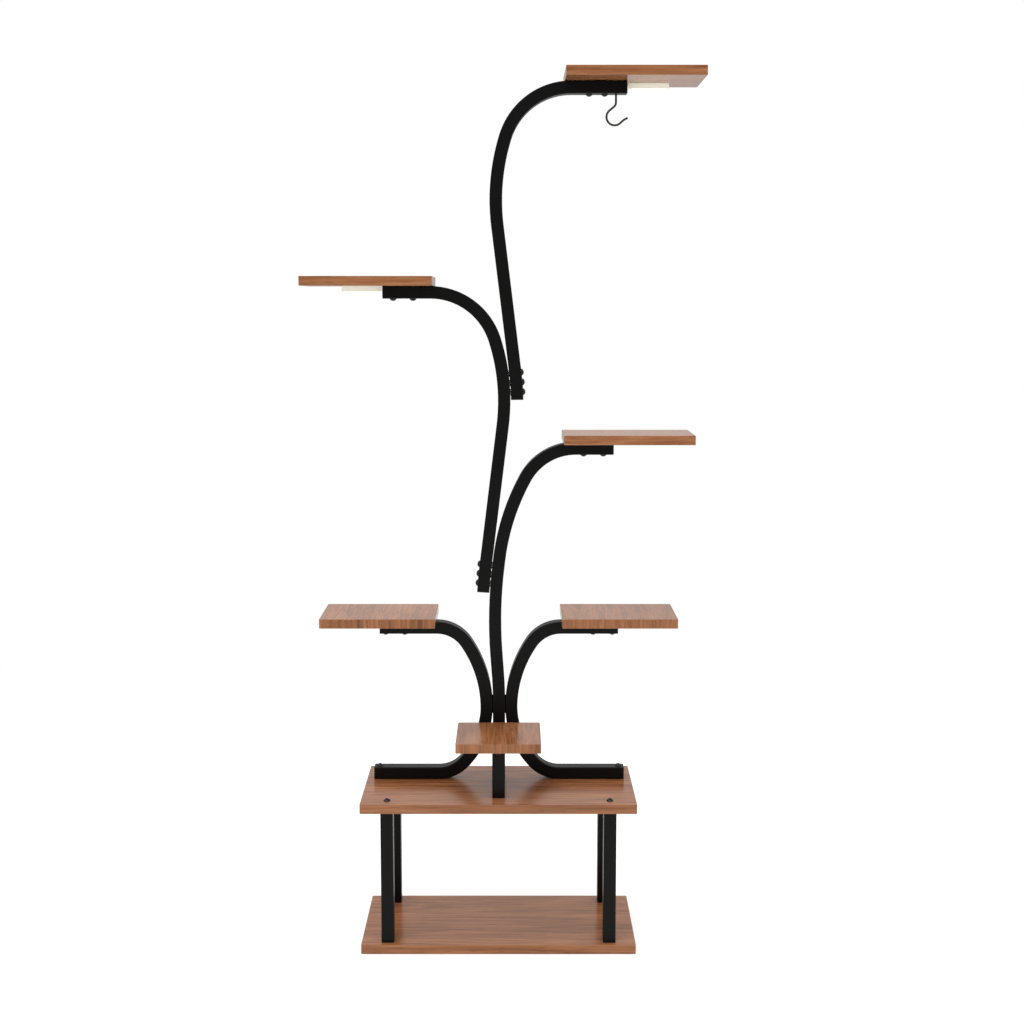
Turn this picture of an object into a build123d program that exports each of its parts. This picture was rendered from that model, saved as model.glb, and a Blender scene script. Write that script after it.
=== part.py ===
from build123d import *
import math
import os

# A free-standing plant stand in millimetres, standing on the floor at z = 0.
# The origin is the centre of the lower board's underside.
# X runs to the right, Y away from the viewer and Z up.

# Boards and legs of the base
board_width = 480.0
board_depth = 240.0
board_thickness = 16.5
board_corner_radius = 2.5
board_edge_round = 0.8
leg_length = 236.0
leg_side_inset = 35.0
leg_front_inset = 10.5

# Rectangular steel tube of the legs, the post and the arms
tube_width = 22.0
tube_depth = 27.0
tube_wall = 1.5
tube_corner_radius = 2.0
smallest_corner_radius = 0.3

# The five arms lie in one upright plane behind the middle of the boards
arm_plane_y = 46.5
arm_gap = 0.5
foot_reach = 227.0

# Side arms: a low bend, two long sweeps and a bend under the shelf
side_low_radius = 63.0
side_low_turn = 46.0
side_lower_sweep = 148.0
side_upper_sweep = 212.0
side_upper_turn = 34.0
side_high_radius = 64.0
side_tube_reach = 214.4

# Centre arm: an upright column that leans slightly to the left and then sweeps to the right
centre_rise = 145.0
centre_lean_radius = 620.0
centre_lean_turn = 4.2
centre_lean_run = 40.0
centre_return_radius = 830.0
centre_joint_run = 12.0
centre_sweep_radius = 410.0
centre_sweep_turn = 21.5
centre_bend_radius = 101.34
centre_tube_reach = 204.0

# The arms above meet at joints that lean this far from upright
joint_lean = 7.0

# Upper left arm, from the joint on the centre arm to the upper left shelf
left_overlap_below = 51.0
left_rise = 302.0
left_sweep_radius = 353.0
left_sweep_turn = 10.8
left_bend_radius = 118.6
left_tube_reach = 203.6

# Top arm, from the joint on the upper left arm to the top shelf
top_overlap_below = 44.0
top_rise = 306.0
top_sweep_radius = 360.0
top_sweep_turn = 24.4
top_bend_radius = 119.5
top_tube_reach = 222.7

# Shelves at the arms' ends: where the inner edge lies, width and depth
low_shelf_start = 112.0
low_shelf_width = 204.0
low_shelf_depth = 150.0
mid_shelf_start = 114.0
mid_shelf_width = 229.0
mid_shelf_depth = 138.0
top_shelf_start = 114.7
top_shelf_width = 238.5
top_shelf_depth = 162.0

# Small front shelf on its post
front_shelf_width = 148.0
front_shelf_top = 375.0
front_shelf_depth = 149.0
post_front_inset = 38.0

# Domed bolts, with a hexagonal socket
bolt_radius = 3.0
bolt_head_radius = 6.0
bolt_head_height = 4.2
bolt_head_rim = 0.9
bolt_socket_width = 4.0
bolt_socket_depth = 2.2
bolt_hole_clearance = 0.3
thread_clearance = 0.05
bolt_grip = 10.0
bolt_end_past_nut = 1.0
counterbore_radius = 7.5
counterbore_depth = 5.5
nut_width = 10.0
nut_height = 5.0

# Inserts, plugs and caps
shelf_insert_radius = 4.5
shelf_insert_length = 12.0
rivet_nut_radius = 4.5
rivet_nut_length = 14.5
rivet_flange = 0.8
rivet_flange_slack = 0.1
rivet_collar_radius = 6.0
rivet_collar_length = 2.5
rivet_collar_gap = 0.6
plug_length = 16.0
plug_clearance = 0.1
cap_flange = 1.6
cap_insert = 5.0
cap_wall = 1.5

# Bolts: distance of the centres from what they line up with
foot_bolt_inset = 10.0
low_shelf_bolt_inset = 10.0
low_shelf_bolt_spacing = 34.5
mid_shelf_bolt_inset = 18.0
mid_shelf_bolt_spacing = 35.0
top_shelf_bolt_inset = 38.7
top_shelf_bolt_spacing = 27.0
joint_bolt_spacing = 17.0
left_joint_bolt_drop = 19.0
top_joint_bolt_drop = 13.5

# Plate behind the three tubes where the side arms touch the column
tie_plate_thickness = 3.0
tie_plate_height = 34.0
tie_plate_margin = 7.5

# Angle brackets under the small front shelf
bracket_thickness = 2.5
bracket_width = 18.0
bracket_drop = 18.0
bracket_leg = 34.0
bracket_bolt_drop = 8.5
bracket_screw_first = 14.0
bracket_screw_spacing = 13.0
screw_radius = 1.75
screw_head_radius = 3.6
screw_head_height = 1.8
screw_bite = 11.0

# Swivelling wire hook under the top arm
hook_inset = 19.0
hook_wire_radius = 1.85
hook_running_clearance = 0.08
hook_shank_length = 14.0
hook_side_radius = 9.0
hook_side_turn = 50.0
hook_side_run = 10.3
hook_bowl_radius = 14.2
hook_bowl_turn = 182.0
hook_lip_run = 7.0
hook_lip_radius = 10.0
hook_lip_turn = 16.0
hook_tip_run = 6.0
hook_nut_radius = 4.0
hook_nut_height = 5.0
hook_seat_gap = 0.3

# Flat grow lights, a rounded slab each, in the rear half of the two highest outer shelves
light_width = 70.0
light_depth = 42.0
light_height = 9.4
light_corner = 5.0
light_wall = 1.6
light_edge_round = 1.0
light_tube_gap = 5.5
light_behind_tube = 12.0
light_boss_radius = 3.0
light_boss_height = 2.0
light_boss_spacing = 56.0
light_screw_spacing = 36.0
led_board_width = 62.0
led_board_depth = 34.0
led_board_corner = 2.0
led_board_thickness = 1.2
led_board_screw_gap = 0.6
led_board_inlet_gap = 0.5
led_size = 2.8
led_height = 0.7
led_columns = 6
led_column_spacing = 10.0
led_row_spacing = 18.0
lens_thickness = 1.4
lens_recess = 0.4
lens_clearance = 0.15
inlet_width = 9.0
inlet_depth = 7.0
inlet_height = 4.6
inlet_bore_radius = 1.6
inlet_clearance = 0.1
inlet_set_back = 0.4

# How far a cutter runs past the face that it starts from or leaves
overrun = 1.0

# Levels and places that follow from the sizes above
half_tube = tube_width / 2
lower_board_top = board_thickness
upper_board_top = board_thickness + leg_length + board_thickness
upper_board_bottom = upper_board_top - board_thickness
leg_x = board_width / 2 - leg_side_inset - half_tube
leg_y = board_depth / 2 - leg_front_inset - tube_depth / 2
foot_axis_z = upper_board_top + half_tube
arm_front_y = arm_plane_y - tube_depth / 2
arm_back_y = arm_plane_y + tube_depth / 2
post_y = post_front_inset + tube_depth / 2 - board_depth / 2
front_shelf_bottom = front_shelf_top - board_thickness
bolt_hole_radius = bolt_radius + bolt_hole_clearance
thread_radius = bolt_radius + thread_clearance

BOTTOM_UP = (Align.CENTER, Align.CENTER, Align.MIN)
TOP_DOWN = (Align.CENTER, Align.CENTER, Align.MAX)


def at(x, z, y=arm_plane_y):
    return Vector(x, y, z)


def heading(angle):
    """Unit vector in the arms' plane, counted from +X towards +Z in degrees."""
    turn = math.radians(angle)
    return Vector(math.cos(turn), 0, math.sin(turn))


def walk(start, angle, moves):
    """Follow straights ("run", length) and bends ("bend", radius, turn), a positive turn going left."""
    edges = []
    here = start
    for move in moves:
        ahead = heading(angle)
        if move[0] == "run":
            there = here + ahead * move[1]
            edges.append(Edge.make_line(here, there))
        else:
            radius = move[1]
            turn = move[2]
            side = math.copysign(90, turn)
            centre = here + heading(angle + side) * radius
            middle = centre + heading(angle - side + turn / 2) * radius
            there = centre + heading(angle - side + turn) * radius
            edges.append(Edge.make_three_point_arc(here, middle, there))
            angle = angle + turn
        here = there
    return edges, here, angle


def beside(pivot, radius, angle, side, drop):
    """A place a distance below a joint on a tube that curves round the pivot with its neighbour.

    Above the joint, where the drop is negative, the tube goes on straight.
    Gives the point on the tube's axis, the tube's heading there and the way out from the neighbour.
    """
    there = angle + side * math.degrees(max(drop, 0) / radius)
    out = heading(there + side * 90)
    return pivot + out * radius + heading(there) * max(-drop, 0), there, out


def tube_section(grow):
    """Rounded rectangle of the tube, grown or shrunk on every side."""
    width = tube_width + 2 * grow
    depth = tube_depth + 2 * grow
    radius = max(tube_corner_radius + grow, smallest_corner_radius)
    return RectangleRounded(depth, width, radius)


def swept_tube(edges):
    """Hollow tube along a path of tangent straights and arcs in the arms' plane."""
    path = Wire(edges)
    start = path.position_at(0)
    along = path.tangent_at(0)
    plane = Plane(origin=start, x_dir=(0, 1, 0), z_dir=along)
    outside = sweep(plane * tube_section(0), path=path)
    inside = sweep(plane * tube_section(-tube_wall), path=path)
    return outside - inside


def upright_tube(x, y, bottom, length):
    """Hollow tube standing upright, with its depth along Y."""
    outside = extrude(Pos(x, y, bottom) * Rot(0, 0, 90) * tube_section(0), length)
    inside = extrude(Pos(x, y, bottom) * Rot(0, 0, 90) * tube_section(-tube_wall), length)
    return outside - inside


def drill(origin, direction, radius, length):
    """Round cutter that starts at a point and goes along a direction."""
    return Plane(origin=origin, z_dir=direction) * Cylinder(radius, length, align=BOTTOM_UP)


def board(width, depth, x, y, top):
    """Flat board with eased edges."""
    blank = Pos(x, y, top) * Box(width, depth, board_thickness, align=TOP_DOWN)
    blank = fillet(blank.edges().filter_by(Axis.Z), board_corner_radius)
    rims = blank.faces().filter_by(Axis.Z).edges()
    return fillet(rims, board_edge_round)


def dome_bolt(origin, outward, length):
    """Bolt with its head's underside at a point and its shank going inward."""
    rise = bolt_head_height - bolt_head_rim
    sphere = (bolt_head_radius ** 2 + rise ** 2) / (2 * rise)
    centre = bolt_head_height - sphere
    half = math.asin(bolt_head_radius / sphere) / 2
    crown = (sphere * math.sin(half), centre + sphere * math.cos(half))
    outline = [
        Edge.make_line((0, 0, -length), (bolt_radius, 0, -length)),
        Edge.make_line((bolt_radius, 0, -length), (bolt_radius, 0, 0)),
        Edge.make_line((bolt_radius, 0, 0), (bolt_head_radius, 0, 0)),
        Edge.make_line((bolt_head_radius, 0, 0), (bolt_head_radius, 0, bolt_head_rim)),
        Edge.make_three_point_arc(
            (bolt_head_radius, 0, bolt_head_rim), (crown[0], 0, crown[1]), (0, 0, bolt_head_height)
        ),
        Edge.make_line((0, 0, bolt_head_height), (0, 0, -length)),
    ]
    body = revolve(make_face(outline), Axis.Z, 360)
    socket = RegularPolygon(bolt_socket_width / 2, 6, major_radius=False)
    body -= extrude(Pos(0, 0, bolt_head_height - bolt_socket_depth) * socket, bolt_head_height)
    return Plane(origin=origin, z_dir=outward) * body


def hex_nut(origin, outward):
    """Nut on a bolt, seated at a point and standing outward."""
    body = extrude(RegularPolygon(nut_width / 2, 6, major_radius=False), nut_height)
    body -= Cylinder(thread_radius, 2 * nut_height + 2 * overrun)
    return Plane(origin=origin, z_dir=outward) * body


def rivet_nut(origin, inward):
    """Threaded sleeve in a tube wall: a flange outside, and a collar upset behind the wall."""
    body = Cylinder(rivet_nut_radius, rivet_nut_length, align=BOTTOM_UP)
    body += Cylinder(rivet_collar_radius, rivet_flange, align=BOTTOM_UP)
    collar = Cylinder(rivet_collar_radius, rivet_collar_length, align=BOTTOM_UP)
    body += Pos(0, 0, rivet_flange + tube_wall + rivet_collar_gap) * collar
    body -= Cylinder(thread_radius, 2 * rivet_nut_length + 2 * overrun)
    return Plane(origin=origin, z_dir=inward) * body


def shelf_insert(x, y, bottom):
    """Threaded insert in a blind hole in the underside of a shelf."""
    body = Cylinder(shelf_insert_radius, shelf_insert_length, align=BOTTOM_UP)
    body -= Cylinder(thread_radius, 2 * shelf_insert_length + 2 * overrun)
    return Pos(x, y, bottom) * body


def threaded_plug(x, y, end, inward):
    """Block inside the end of an upright tube, with a threaded hole for one bolt."""
    shrink = -tube_wall - plug_clearance
    block = extrude(Rot(0, 0, 90) * tube_section(shrink), plug_length)
    block -= Cylinder(thread_radius, 2 * plug_length + 2 * overrun)
    if inward < 0:
        block = Pos(0, 0, -plug_length) * block
    return Pos(x, y, end) * block


def end_cap(origin, outward):
    """Moulded cap for an open tube end: a flange and a hollow plug behind it."""
    shrink = -tube_wall - plug_clearance
    plane = Plane(origin=origin, x_dir=(0, 1, 0), z_dir=outward)
    cap = extrude(tube_section(0), cap_flange)
    cap = fillet(cap.faces().sort_by(Axis.Z)[-1].edges(), cap_flange / 2)
    skirt = extrude(tube_section(shrink), -cap_insert)
    skirt -= extrude(tube_section(shrink - cap_wall), -cap_insert)
    return plane * (cap + skirt)


def bolt_line(first, count, spacing):
    return [first + index * spacing for index in range(count)]


# Paths of the arms
side_low_sweep_turn = 90 - side_low_turn
side_high_turn = 90 - side_upper_turn
side_touch_x = tube_width + arm_gap
side_bend_start = (
    side_touch_x
    + side_low_radius * math.sin(math.radians(side_low_turn))
    + side_lower_sweep * (1 - math.sin(math.radians(side_low_turn)))
)
side_touch_z = (
    foot_axis_z
    + side_low_radius * (1 - math.cos(math.radians(side_low_turn)))
    + side_lower_sweep * math.cos(math.radians(side_low_turn))
)


def side_path(side):
    """Path of a side arm from its foot's end, with side -1 for left and 1 for right."""
    first = at(side * (foot_reach - cap_flange), foot_axis_z)
    start_angle = 90 + side * 90
    moves = [
        ("run", foot_reach - cap_flange - side_bend_start),
        ("bend", side_low_radius, -side * side_low_turn),
        ("bend", side_lower_sweep, -side * side_low_sweep_turn),
        ("bend", side_upper_sweep, -side * side_upper_turn),
        ("bend", side_high_radius, -side * side_high_turn),
    ]
    edges, here, angle = walk(first, start_angle, moves)
    reach = side_tube_reach - cap_flange - abs(here.X)
    last, end, angle = walk(here, angle, [("run", reach)])
    return edges + last, end


def finish_path(edges, here, angle, side, reach):
    """Add the level run under a shelf, out to the tube's end."""
    last, end, angle = walk(here, angle, [("run", reach - cap_flange - side * here.X)])
    return edges + last, end


# Distance between the axes of two tubes that are bolted together at a joint
joint_pitch = tube_width + rivet_flange + rivet_flange_slack

centre_start = at(0, upper_board_top)
centre_lower, left_joint, joint_angle = walk(
    centre_start,
    90,
    [
        ("run", centre_rise),
        ("bend", centre_lean_radius, centre_lean_turn),
        ("run", centre_lean_run),
        ("bend", centre_return_radius, -centre_lean_turn - joint_lean),
    ],
)
centre_upper, centre_here, centre_angle = walk(
    left_joint,
    joint_angle,
    [
        ("run", centre_joint_run),
        ("bend", centre_sweep_radius, -centre_sweep_turn),
        ("bend", centre_bend_radius, -(90 - joint_lean - centre_sweep_turn)),
    ],
)
centre_path, centre_end = finish_path(
    centre_lower + centre_upper, centre_here, centre_angle, 1, centre_tube_reach
)

left_joint_out = heading(joint_angle + 90)
left_joint_pivot = left_joint - left_joint_out * centre_return_radius
left_joint_radius = centre_return_radius + joint_pitch
left_below = left_overlap_below - cap_flange
left_start, left_start_angle, _ = beside(
    left_joint_pivot, left_joint_radius, joint_angle, 1, left_below
)
left_lower, top_joint, top_joint_angle = walk(
    left_start,
    left_start_angle,
    [
        ("bend", left_joint_radius, joint_angle - left_start_angle),
        ("run", left_rise - left_overlap_below),
        ("bend", left_sweep_radius, 2 * joint_lean),
    ],
)
left_upper, left_here, left_angle = walk(
    top_joint,
    top_joint_angle,
    [
        ("bend", left_sweep_radius, left_sweep_turn),
        ("bend", left_bend_radius, 90 - joint_lean - left_sweep_turn),
    ],
)
left_path, left_end = finish_path(
    left_lower + left_upper, left_here, left_angle, -1, left_tube_reach
)

top_joint_out = heading(top_joint_angle - 90)
top_joint_pivot = top_joint - top_joint_out * left_sweep_radius
top_joint_radius = left_sweep_radius + joint_pitch
top_below = top_overlap_below - cap_flange
top_start, top_start_angle, _ = beside(
    top_joint_pivot, top_joint_radius, top_joint_angle, -1, top_below
)
top_lower, top_here, top_angle = walk(
    top_start,
    top_start_angle,
    [
        ("bend", top_joint_radius, top_joint_angle - top_start_angle),
        ("run", top_rise - top_overlap_below),
        ("bend", top_sweep_radius, -top_sweep_turn),
        ("bend", top_bend_radius, -(90 + joint_lean - top_sweep_turn)),
    ],
)
top_path, top_end = finish_path(top_lower, top_here, top_angle, 1, top_tube_reach)

# Each arm-end shelf: side, inner edge, width, depth, tube axis height and its two bolts' places
side_paths = {side: side_path(side) for side in (-1, 1)}


def shelf_spec(side, start, width, depth, end, reach, inset, spacing):
    bolts = [side * (reach - inset - index * spacing) for index in range(2)]
    seat = end.Z + half_tube
    return {
        "x": side * (start + width / 2),
        "width": width,
        "depth": depth,
        "seat": seat,
        "top": seat + board_thickness,
        "bolts": bolts,
        "tube_bottom": end.Z - half_tube,
    }


low_sizes = (low_shelf_start, low_shelf_width, low_shelf_depth)
mid_sizes = (mid_shelf_start, mid_shelf_width, mid_shelf_depth)
top_sizes = (top_shelf_start, top_shelf_width, top_shelf_depth)
low_bolts = (low_shelf_bolt_inset, low_shelf_bolt_spacing)
mid_bolts = (mid_shelf_bolt_inset, mid_shelf_bolt_spacing)
top_bolts = (top_shelf_bolt_inset, top_shelf_bolt_spacing)
shelf_specs = {
    "left_lower_shelf": shelf_spec(-1, *low_sizes, side_paths[-1][1], side_tube_reach, *low_bolts),
    "right_lower_shelf": shelf_spec(1, *low_sizes, side_paths[1][1], side_tube_reach, *low_bolts),
    "right_middle_shelf": shelf_spec(1, *mid_sizes, centre_end, centre_tube_reach, *mid_bolts),
    "upper_left_shelf": shelf_spec(-1, *mid_sizes, left_end, left_tube_reach, *mid_bolts),
    "top_shelf": shelf_spec(1, *top_sizes, top_end, top_tube_reach, *top_bolts),
}

# A grow light lies under each of the two upper outer shelves, just beyond the tube's end
light_offset = light_tube_gap + light_width / 2
light_y = arm_back_y + light_behind_tube + light_depth / 2
light_shelves = {"left_light": "upper_left_shelf", "top_light": "top_shelf"}
light_x = {"left_light": -(left_tube_reach + light_offset), "top_light": top_tube_reach + light_offset}
light_places = {light: (x, shelf_specs[light_shelves[light]]["seat"]) for light, x in light_x.items()}
light_screw_places = [(-light_screw_spacing / 2, 0), (light_screw_spacing / 2, 0)]

leg_places = {
    "front_left_leg": (-leg_x, -leg_y),
    "front_right_leg": (leg_x, -leg_y),
    "rear_left_leg": (-leg_x, leg_y),
    "rear_right_leg": (leg_x, leg_y),
}
foot_bolt_places = [-(foot_reach - foot_bolt_inset), foot_reach - foot_bolt_inset]
upright_places = [(0, arm_plane_y), (0, post_y)]
tie_places = [-side_touch_x, 0, side_touch_x]


def joint_bolts(pivot, radius, angle, side, drop):
    """A joint's three bolts: for each, the centre on the outer tube's far face and the way out."""
    bolts = []
    for step in (-1, 0, 1):
        point, there, out = beside(pivot, radius, angle, side, drop + step * joint_bolt_spacing)
        bolts.append((point + out * half_tube, out))
    return bolts


left_joint_bolts = joint_bolts(
    left_joint_pivot, left_joint_radius, joint_angle, 1, left_joint_bolt_drop
)
top_joint_bolts = joint_bolts(
    top_joint_pivot, top_joint_radius, top_joint_angle, -1, top_joint_bolt_drop
)
joint_bolt_length = joint_pitch + bolt_grip
bracket_bolt_z = front_shelf_bottom - bracket_bolt_drop
tie_seat_y = arm_back_y + rivet_flange
column_seat_y = arm_front_y - rivet_flange


through_tube = tube_width + 2 * overrun
through_board = board_thickness + 2 * overrun
through_wall = tube_wall + 2 * overrun
through_bracket = bracket_thickness + 2 * overrun
rivet_hole_radius = rivet_nut_radius + thread_clearance
screw_hole_radius = screw_radius + thread_clearance


def arm_wall_hole(point, out):
    """Cutter for a rivet nut in the wall that the outer tube is bolted to."""
    near = point - out * (tube_width + rivet_flange_slack)
    depth = rivet_flange + 2 * tube_wall
    return drill(near, out * -1, rivet_hole_radius, depth)


def through_hole(point, out):
    """Cutter through both walls of the outer tube."""
    return drill(point + out * overrun, out * -1, bolt_hole_radius, tube_width + overrun + rivet_flange / 2)


def shelf_bolt_holes(spec):
    """Cutters through the tube under one shelf."""
    return [
        drill((x, arm_plane_y, spec["tube_bottom"] - overrun), (0, 0, 1), bolt_hole_radius, through_tube)
        for x in spec["bolts"]
    ]


def tie_hole(x):
    """Cutter for a rivet nut in the back wall of a tube at the tie plate."""
    origin = (x, arm_back_y + overrun, side_touch_z)
    return drill(origin, (0, -1, 0), rivet_hole_radius, through_wall)


def side_arm(side):
    edges, end = side_paths[side]
    arm = swept_tube(edges)
    name = "left_lower_shelf" if side < 0 else "right_lower_shelf"
    for cutter in shelf_bolt_holes(shelf_specs[name]):
        arm -= cutter
    foot_hole = (side * (foot_reach - foot_bolt_inset), arm_plane_y, upper_board_top - overrun)
    arm -= drill(foot_hole, (0, 0, 1), bolt_hole_radius, through_tube)
    return arm - tie_hole(side * side_touch_x)


def centre_arm():
    arm = swept_tube(centre_path)
    for cutter in shelf_bolt_holes(shelf_specs["right_middle_shelf"]):
        arm -= cutter
    for point, out in left_joint_bolts:
        arm -= arm_wall_hole(point, out)
    bracket_hole = (0, arm_front_y - overrun, bracket_bolt_z)
    arm -= drill(bracket_hole, (0, 1, 0), rivet_hole_radius, through_wall)
    return arm - tie_hole(0)


def upper_left_arm():
    arm = swept_tube(left_path)
    for cutter in shelf_bolt_holes(shelf_specs["upper_left_shelf"]):
        arm -= cutter
    for point, out in left_joint_bolts:
        arm -= through_hole(point, out)
    for point, out in top_joint_bolts:
        arm -= arm_wall_hole(point, out)
    return arm


hook_x = top_tube_reach - hook_inset
hook_seat_z = shelf_specs["top_shelf"]["tube_bottom"]


def top_arm():
    arm = swept_tube(top_path)
    for cutter in shelf_bolt_holes(shelf_specs["top_shelf"]):
        arm -= cutter
    for point, out in top_joint_bolts:
        arm -= through_hole(point, out)
    bore = hook_wire_radius + hook_running_clearance
    return arm - drill((hook_x, arm_plane_y, hook_seat_z - overrun), (0, 0, 1), bore, through_wall)


def lower_board():
    plate = board(board_width, board_depth, 0, 0, lower_board_top)
    for x, y in leg_places.values():
        plate -= drill((x, y, -overrun), (0, 0, 1), bolt_hole_radius, through_board)
        plate -= drill((x, y, 0), (0, 0, 1), counterbore_radius, counterbore_depth)
    return plate


def upper_board():
    plate = board(board_width, board_depth, 0, 0, upper_board_top)
    places = list(leg_places.values()) + upright_places
    places += [(x, arm_plane_y) for x in foot_bolt_places]
    for x, y in places:
        plate -= drill((x, y, upper_board_bottom - overrun), (0, 0, 1), bolt_hole_radius, through_board)
    return plate


def arm_shelf(name):
    """Shelf on an arm's end, with blind holes for its inserts and for a light's screws."""
    spec = shelf_specs[name]
    seat = spec["seat"]
    plate = board(spec["width"], spec["depth"], spec["x"], arm_plane_y, spec["top"])
    for x in spec["bolts"]:
        plate -= drill((x, arm_plane_y, seat), (0, 0, 1), shelf_insert_radius, shelf_insert_length)
    for light, shelf in light_shelves.items():
        if shelf == name:
            for sx, sy in light_screw_places:
                place = (light_x[light] + sx, light_y + sy, seat)
                plate -= drill(place, (0, 0, 1), screw_hole_radius, screw_bite)
    return plate


front_shelf_y = arm_front_y - front_shelf_depth / 2


def bracket_screw_points():
    """Screws under the front shelf: along Y from the post's back and from the column's front."""
    post_back = post_y + tube_depth / 2
    steps = bolt_line(bracket_screw_first, 2, bracket_screw_spacing)
    return [post_back + step for step in steps] + [column_seat_y - step for step in steps]


def front_shelf():
    plate = board(front_shelf_width, front_shelf_depth, 0, front_shelf_y, front_shelf_top)
    for y in bracket_screw_points():
        plate -= drill((0, y, front_shelf_bottom), (0, 0, 1), screw_hole_radius, screw_bite)
    return plate


def front_post():
    post = upright_tube(0, post_y, upper_board_top, front_shelf_bottom - upper_board_top)
    front = post_y - tube_depth / 2 - overrun
    return post - drill((0, front, bracket_bolt_z), (0, 1, 0), bolt_hole_radius, tube_depth + 2 * overrun)


def shelf_bracket(face_y, way):
    """Angle bracket whose upright leg lies on a tube's face and whose level leg lies under the shelf."""
    upright = Pos(0, face_y + way * bracket_thickness / 2, front_shelf_bottom) * Box(
        bracket_width, bracket_thickness, bracket_drop, align=TOP_DOWN
    )
    level = Pos(0, face_y + way * bracket_leg / 2, front_shelf_bottom) * Box(
        bracket_width, bracket_leg, bracket_thickness, align=TOP_DOWN
    )
    angle = upright + level
    hole_start = (0, face_y - way * overrun, bracket_bolt_z)
    angle -= drill(hole_start, (0, way, 0), bolt_hole_radius, through_bracket)
    for step in bolt_line(bracket_screw_first, 2, bracket_screw_spacing):
        start = (0, face_y + way * step, front_shelf_bottom - bracket_thickness - overrun)
        angle -= drill(start, (0, 0, 1), screw_hole_radius, through_bracket)
    return angle


def pan_screw(origin, inward, bite):
    """Pan-head screw with its head's seat at a point."""
    shank = Cylinder(screw_radius, bite, align=BOTTOM_UP)
    head = Cylinder(screw_head_radius, screw_head_height, align=TOP_DOWN)
    head = fillet(head.edges().sort_by(Axis.Z)[0], screw_head_height / 2)
    return Plane(origin=origin, z_dir=inward) * (shank + head)


def tie_plate():
    """Flat plate behind the column and both side arms."""
    width = 2 * (side_touch_x + tie_plate_margin)
    plate = Pos(0, tie_seat_y, side_touch_z) * Box(
        width, tie_plate_thickness, tie_plate_height, align=(Align.CENTER, Align.MIN, Align.CENTER)
    )
    plate = fillet(plate.edges().filter_by(Axis.Y), board_corner_radius)
    for x in tie_places:
        start = (x, tie_seat_y - overrun, side_touch_z)
        plate -= drill(start, (0, 1, 0), bolt_hole_radius, tie_plate_thickness + 2 * overrun)
    return plate


def hook():
    """Bent wire: a shank through the tube wall, a side step, an open bowl and a lip that turns out."""
    top = tube_wall + hook_seat_gap + hook_nut_height
    start = at(hook_x, hook_seat_z + top)
    edges, _, _ = walk(
        start,
        -90,
        [
            ("run", top + hook_shank_length),
            ("bend", hook_side_radius, -hook_side_turn),
            ("run", hook_side_run),
            ("bend", hook_bowl_radius, hook_bowl_turn),
            ("run", hook_lip_run),
            ("bend", hook_lip_radius, -hook_lip_turn),
            ("run", hook_tip_run),
        ],
    )
    circle = Plane(origin=start, z_dir=(0, 0, -1)) * Circle(hook_wire_radius)
    return sweep(circle, path=Wire(edges))


def hook_nut():
    """Round nut on the shank inside the tube, which carries the hook."""
    body = Cylinder(hook_nut_radius, hook_nut_height, align=BOTTOM_UP)
    body -= Cylinder(hook_wire_radius + thread_clearance, 2 * hook_nut_height + 2 * overrun)
    return Pos(hook_x, arm_plane_y, hook_seat_z + tube_wall + hook_seat_gap) * body


# Pieces of a grow light, drawn round its middle and down from the shelf
light_boss_places = [(-light_boss_spacing / 2, 0), (light_boss_spacing / 2, 0)]
led_board_level = -light_wall - light_boss_height - led_board_thickness
lens_level = -light_height + lens_recess
inlet_level = -light_wall


def light_slab(shrink, height):
    """The light's outline, shrunk all round, as a slab that hangs down from level 0."""
    outline = RectangleRounded(light_width - 2 * shrink, light_depth - 2 * shrink, light_corner - shrink)
    return extrude(outline, -height)


def light_housing():
    """Shallow pan, open at the bottom, with bosses for the board and a gap for the inlet."""
    pan = light_slab(0, light_height)
    pan = fillet(pan.faces().sort_by(Axis.Z)[0].edges(), light_edge_round)
    pan -= Pos(0, 0, -light_wall) * light_slab(light_wall, light_height)
    for x, y in light_boss_places:
        pan += Pos(x, y, -light_wall) * Cylinder(light_boss_radius, light_boss_height, align=TOP_DOWN)
    for x, y in light_screw_places:
        pan -= drill((x, y, overrun), (0, 0, -1), screw_hole_radius, light_wall + 2 * overrun)
    gap = Pos(0, light_depth / 2, inlet_level) * Box(
        inlet_width, 3 * light_wall, inlet_height, align=TOP_DOWN
    )
    return pan - gap


def led_board():
    """Circuit board on the bosses, notched for the inlet and open round the screws."""
    outline = RectangleRounded(led_board_width, led_board_depth, led_board_corner)
    plate = Pos(0, 0, led_board_level + led_board_thickness) * extrude(outline, -led_board_thickness)
    for x, y in light_screw_places:
        plate -= drill((x, y, 0), (0, 0, -1), screw_head_radius + led_board_screw_gap, light_height)
    reach = (light_depth - led_board_depth) / 2 + inlet_depth
    width = inlet_width + 2 * led_board_inlet_gap
    notch = Pos(0, light_depth / 2, 0) * Box(width, 2 * reach, 2 * light_height)
    return plate - notch


def led_chips():
    """Two rows of LEDs, without those that the inlet's notch leaves no room for."""
    chips = []
    first = -led_column_spacing * (led_columns - 1) / 2
    for x in bolt_line(first, led_columns, led_column_spacing):
        for y in (-led_row_spacing / 2, led_row_spacing / 2):
            beside_inlet = abs(x) < inlet_width / 2 + led_size
            in_notch = beside_inlet and y > led_board_depth / 2 - inlet_depth - led_size
            if not in_notch:
                chips.append(Pos(x, y, led_board_level) * Box(led_size, led_size, led_height, align=TOP_DOWN))
    return chips


def light_lens():
    """Frosted cover let into the housing's rim."""
    cover = light_slab(light_wall + lens_clearance, lens_thickness)
    cover = fillet(cover.faces().sort_by(Axis.Z)[0].edges(), lens_thickness / 3)
    return Pos(0, 0, lens_level + lens_thickness) * cover


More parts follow.
